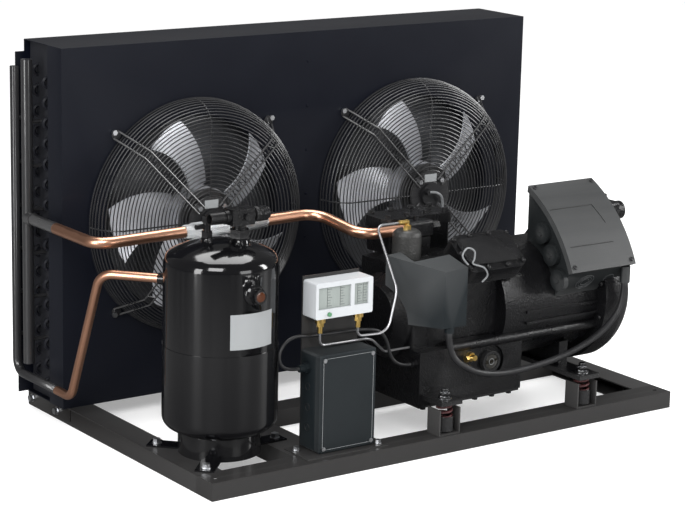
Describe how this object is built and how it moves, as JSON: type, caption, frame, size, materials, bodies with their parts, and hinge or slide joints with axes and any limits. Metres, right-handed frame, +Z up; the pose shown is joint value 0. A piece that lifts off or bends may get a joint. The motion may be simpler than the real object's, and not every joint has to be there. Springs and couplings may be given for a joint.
{
  "type": "refrigeration condensing unit",
  "caption": "Air-cooled refrigeration condensing unit: base frame, finned condenser with guarded fans, receiver, semi-hermetic compressor, controls and copper pipework.",
  "frame": {"origin": "centre of the base frame footprint, on the floor", "axes": "+X along the base to the compressor motor end, +Y towards the condenser, +Z up"},
  "size_m": [1.4835, 0.885, 0.943],
  "materials": {
    "bare_casting": "rough silver grey casting",
    "blade_grey": "satin",
    "box_plastic": "matte dark grey",
    "braid": "braided stainless steel",
    "brass": "bare brass",
    "button_red": "satin",
    "cable_rubber": "black sheath",
    "cast_black": "black painted casting",
    "clear": "clear",
    "coil_black": "black coated fins",
    "coil_steel": "black coated sheet",
    "copper": "bare copper",
    "gloss_panel": "glossy blue-black paint",
    "motor_black": "black painted casting",
    "pipe_black": "satin black paint",
    "receiver_black": "high gloss black",
    "satin_black": "satin black powder coat",
    "spring_red": "red coated spring steel",
    "switch_plastic": "light grey",
    "wire_black": "black coated wire",
    "zinc": "zinc plated"
  },
  "bodies": {
    "unit": {"base_cross_members": "satin_black", "base_front_rail": "satin_black", "base_left_rail": "satin_black", "base_rear_rail": "satin_black", "base_right_rail": "satin_black", "braided_hose": "braid", "brass_fittings": "brass", "cabinet_shell": "gloss_panel", "capillaries": "copper", "clear_windows": "clear", "compressor_body": "cast_black", "conduit": "cable_rubber", "control_bracket": "satin_black", "control_cable": "cable_rubber", "control_module": "box_plastic", "discharge_muffler": "bare_casting", "discharge_valve": "cast_black", "fan_arms_left": "wire_black", "fan_arms_right": "wire_black", "fan_bolts": "zinc", "fan_guard_left": "wire_black", "fan_guard_right": "wire_black", "fan_motor_left": "motor_black", "fan_motor_right": "motor_black", "fan_nozzle_left": "gloss_panel", "fan_nozzle_right": "gloss_panel", "fan_panel": "gloss_panel", "fin_block": "coil_black", "frame_bolts": "zinc", "front_cylinder_head": "cast_black", "gas_header": "pipe_black", "gas_pipe_left": "copper", "gas_pipe_right": "copper", "junction_box": "box_plastic", "junction_box_lid": "box_plastic", "liquid_header": "pipe_black", "liquid_pipe": "copper", "mount_brackets": "satin_black", "mount_springs": "spring_red", "pressure_switch": "switch_plastic", "rear_cylinder_head": "cast_black", "receiver_feet": "receiver_black", "receiver_lower_shell": "receiver_black", "receiver_upper_shell": "receiver_black", "receiver_valve": "cast_black", "receiver_valve_cap": "cast_black", "receiver_vent_valve": "brass", "return_bends": "copper", "sight_glass_rings": "cast_black", "suction_valve": "cast_black", "sump_cover": "cast_black", "terminal_box": "box_plastic", "terminal_box_lid": "box_plastic", "tube_sheets": "coil_steel"},
    "fan_left_rotor": {"fan_rotor_left": "motor_black", "fan_blades_left": "blade_grey"},
    "fan_right_rotor": {"fan_rotor_right": "motor_black", "fan_blades_right": "blade_grey"},
    "button": {"reset_button": "button_red"}
  },
  "joints": [
    {"name": "fan_left_spin", "type": "hinge", "parent": "unit", "child": "fan_left_rotor", "pos_m": [-0.344, 0.2, 0.498], "axis": [0, 1, 0], "continuous": true},
    {"name": "fan_right_spin", "type": "hinge", "parent": "unit", "child": "fan_right_rotor", "pos_m": [0.344, 0.2, 0.498], "axis": [0, 1, 0], "continuous": true},
    {"name": "reset_press", "type": "slide", "parent": "unit", "child": "button", "axis": [0, 1, 0], "range_m": [0, 0.003], "stiffness_N_per_m": 300}
  ]
}
